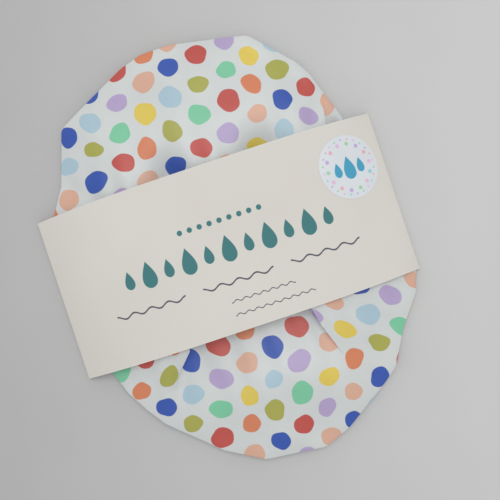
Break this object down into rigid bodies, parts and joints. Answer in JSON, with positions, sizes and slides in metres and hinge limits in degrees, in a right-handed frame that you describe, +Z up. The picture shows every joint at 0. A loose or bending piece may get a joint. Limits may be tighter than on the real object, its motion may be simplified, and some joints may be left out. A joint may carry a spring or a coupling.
{
  "type": "shower cap",
  "caption": "Child-size shower cap of dotted laminated cotton with an elasticated hem, folded flat and held in a plain card sleeve that slides off.",
  "frame": {"origin": "on the table under the middle of the folded cap and its sleeve", "axes": "+X along the card sleeve, +Y along the folded cap's length, the way the sleeve slides off, +Z up from the table"},
  "size_m": [0.2102, 0.259, 0.0218],
  "materials": {
    "laminated_cotton": "satin",
    "elastic": "matte",
    "thread": "satin",
    "card": "matte",
    "glue": "satin",
    "sticker": "satin"
  },
  "bodies": {
    "cap": {"crown_panel": "laminated_cotton", "hem_casing": "laminated_cotton", "elastic_loop": "elastic", "elastic_lap_stitch": "thread", "hem_needle_thread": "thread", "hem_bobbin_thread": "thread"},
    "sleeve": {"card_sleeve": "card", "sleeve_glue_strip": "glue", "round_sticker": "sticker"}
  },
  "joints": [
    {"name": "sleeve_slide", "type": "slide", "parent": "cap", "child": "sleeve", "axis": [0, 1, 0], "range_m": [-0.19, 0.19]}
  ]
}
